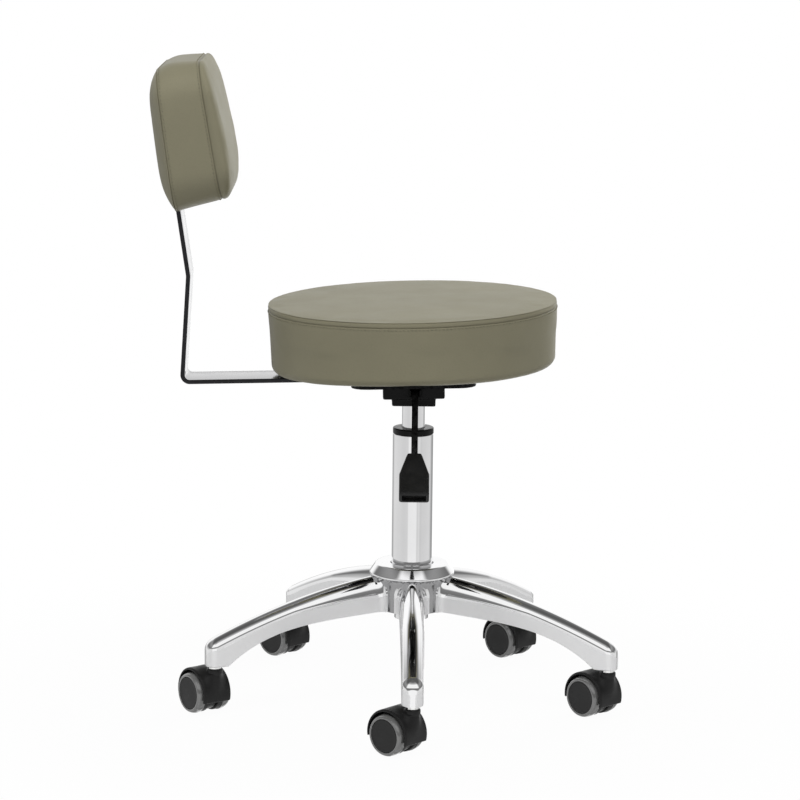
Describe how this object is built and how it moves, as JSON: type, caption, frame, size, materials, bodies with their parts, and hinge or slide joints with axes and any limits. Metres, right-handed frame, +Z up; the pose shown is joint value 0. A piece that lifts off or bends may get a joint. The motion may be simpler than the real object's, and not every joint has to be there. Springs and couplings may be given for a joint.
{
  "type": "rolling stool with backrest",
  "caption": "Round upholstered swivel stool on a five-arm polished base with twin-wheel casters, gas lift with release lever, and a boxed back pad on a bent flat bar.",
  "frame": {"origin": "on the floor, under the middle of the whole stool", "axes": "+Z up, +X the way the sitter faces, -Y the side of the lever"},
  "size_m": [0.571, 0.5252, 0.791],
  "materials": {
    "chrome": "bright plated",
    "polished_aluminium": "polished casting",
    "bright_steel": "zinc plated",
    "black_steel": "satin black powder coat",
    "black_nylon": "moulded satin black",
    "grey_rubber": "smooth grey",
    "painted_board": "plywood painted black",
    "sage_vinyl": "grained vinyl, grey-green"
  },
  "bodies": {
    "base": {"base_casting": "polished_aluminium", "stand_tube": "chrome", "guide_bush": "black_nylon", "thrust_bearing": "bright_steel", "retaining_clip": "bright_steel"},
    "rod": {"piston_rod": "bright_steel"},
    "seat": {"gas_cylinder": "chrome", "mechanism_housing": "black_steel", "seat_plate": "black_steel", "seat_board": "painted_board", "seat_cushion": "sage_vinyl", "seat_screw_1": "bright_steel", "seat_screw_2": "bright_steel", "seat_screw_3": "bright_steel", "seat_screw_4": "bright_steel", "back_bar": "chrome", "bar_screw_1": "bright_steel", "bar_screw_2": "bright_steel", "back_board": "painted_board", "back_cushion": "sage_vinyl", "back_screw_1": "bright_steel", "back_screw_2": "bright_steel"},
    "lever": {"lever_bar": "black_steel", "lever_paddle": "black_nylon"},
    "pin": {"release_pin": "bright_steel"},
    "caster_1": {"caster_1_stem": "bright_steel", "caster_1_hood": "black_nylon", "caster_1_axle": "bright_steel"},
    "caster_1_near_wheel": {"caster_1_near_core": "black_nylon", "caster_1_near_tyre": "grey_rubber"},
    "caster_1_far_wheel": {"caster_1_far_core": "black_nylon", "caster_1_far_tyre": "grey_rubber"},
    "caster_2": {"caster_2_stem": "bright_steel", "caster_2_hood": "black_nylon", "caster_2_axle": "bright_steel"},
    "caster_2_near_wheel": {"caster_2_near_core": "black_nylon", "caster_2_near_tyre": "grey_rubber"},
    "caster_2_far_wheel": {"caster_2_far_core": "black_nylon", "caster_2_far_tyre": "grey_rubber"},
    "caster_3": {"caster_3_stem": "bright_steel", "caster_3_hood": "black_nylon", "caster_3_axle": "bright_steel"},
    "caster_3_near_wheel": {"caster_3_near_core": "black_nylon", "caster_3_near_tyre": "grey_rubber"},
    "caster_3_far_wheel": {"caster_3_far_core": "black_nylon", "caster_3_far_tyre": "grey_rubber"},
    "caster_4": {"caster_4_stem": "bright_steel", "caster_4_hood": "black_nylon", "caster_4_axle": "bright_steel"},
    "caster_4_near_wheel": {"caster_4_near_core": "black_nylon", "caster_4_near_tyre": "grey_rubber"},
    "caster_4_far_wheel": {"caster_4_far_core": "black_nylon", "caster_4_far_tyre": "grey_rubber"},
    "caster_5": {"caster_5_stem": "bright_steel", "caster_5_hood": "black_nylon", "caster_5_axle": "bright_steel"},
    "caster_5_near_wheel": {"caster_5_near_core": "black_nylon", "caster_5_near_tyre": "grey_rubber"},
    "caster_5_far_wheel": {"caster_5_far_core": "black_nylon", "caster_5_far_tyre": "grey_rubber"}
  },
  "joints": [
    {"name": "seat_swivel", "type": "hinge", "parent": "base", "child": "rod", "pos_m": [0.02775, 0.00704, 0.1], "axis": [0, 0, 1], "continuous": true},
    {"name": "seat_lift", "type": "slide", "parent": "rod", "child": "seat", "axis": [0, 0, 1], "range_m": [0, 0.13]},
    {"name": "lever_tip", "type": "hinge", "parent": "seat", "child": "lever", "pos_m": [0.02935, -0.01296, 0.3953], "axis": [-1, 0, 0], "range_deg": [0, 8]},
    {"name": "pin_press", "type": "slide", "parent": "seat", "child": "pin", "axis": [0, 0, -1], "range_m": [0, 0.003]},
    {"name": "caster_1_swivel", "type": "hinge", "parent": "base", "child": "caster_1", "pos_m": [0.03038, -0.24345, 0.06], "axis": [0, 0, 1], "continuous": true},
    {"name": "caster_1_near_spin", "type": "hinge", "parent": "caster_1", "child": "caster_1_near_wheel", "pos_m": [0.01264, -0.22803, 0.025], "axis": [-0.6561, -0.7547, 0], "continuous": true},
    {"name": "caster_1_far_spin", "type": "hinge", "parent": "caster_1", "child": "caster_1_far_wheel", "pos_m": [0.01264, -0.22803, 0.025], "axis": [-0.6561, -0.7547, 0], "continuous": true},
    {"name": "caster_2_swivel", "type": "hinge", "parent": "base", "child": "caster_2", "pos_m": [0.26679, -0.06787, 0.06], "axis": [0, 0, 1], "continuous": true},
    {"name": "caster_2_near_spin", "type": "hinge", "parent": "caster_2", "child": "caster_2_near_wheel", "pos_m": [0.25047, -0.05097, 0.025], "axis": [-0.7193, -0.6947, 0], "continuous": true},
    {"name": "caster_2_far_spin", "type": "hinge", "parent": "caster_2", "child": "caster_2_far_wheel", "pos_m": [0.25047, -0.05097, 0.025], "axis": [-0.7193, -0.6947, 0], "continuous": true},
    {"name": "caster_3_swivel", "type": "hinge", "parent": "base", "child": "caster_3", "pos_m": [0.17286, 0.21123, 0.06], "axis": [0, 0, 1], "continuous": true},
    {"name": "caster_3_near_spin", "type": "hinge", "parent": "caster_3", "child": "caster_3_near_wheel", "pos_m": [0.15596, 0.22755, 0.025], "axis": [-0.6947, -0.7193, 0], "continuous": true},
    {"name": "caster_3_far_spin", "type": "hinge", "parent": "caster_3", "child": "caster_3_far_wheel", "pos_m": [0.15596, 0.22755, 0.025], "axis": [-0.6947, -0.7193, 0], "continuous": true},
    {"name": "caster_4_swivel", "type": "hinge", "parent": "base", "child": "caster_4", "pos_m": [-0.1216, 0.20814, 0.06], "axis": [0, 0, 1], "continuous": true},
    {"name": "caster_4_near_spin", "type": "hinge", "parent": "caster_4", "child": "caster_4_near_wheel", "pos_m": [-0.1385, 0.22447, 0.025], "axis": [-0.6947, -0.7193, 0], "continuous": true},
    {"name": "caster_4_far_spin", "type": "hinge", "parent": "caster_4", "child": "caster_4_far_wheel", "pos_m": [-0.1385, 0.22447, 0.025], "axis": [-0.6947, -0.7193, 0], "continuous": true},
    {"name": "caster_5_swivel", "type": "hinge", "parent": "base", "child": "caster_5", "pos_m": [-0.20966, -0.07286, 0.06], "axis": [0, 0, 1], "continuous": true},
    {"name": "caster_5_near_spin", "type": "hinge", "parent": "caster_5", "child": "caster_5_near_wheel", "pos_m": [-0.22348, -0.05385, 0.025], "axis": [-0.809, -0.5878, 0], "continuous": true},
    {"name": "caster_5_far_spin", "type": "hinge", "parent": "caster_5", "child": "caster_5_far_wheel", "pos_m": [-0.22348, -0.05385, 0.025], "axis": [-0.809, -0.5878, 0], "continuous": true}
  ],
  "couplings": [
    {"joint": "pin_press", "follows": "lever_tip", "m_per_rad": 0.02}
  ]
}
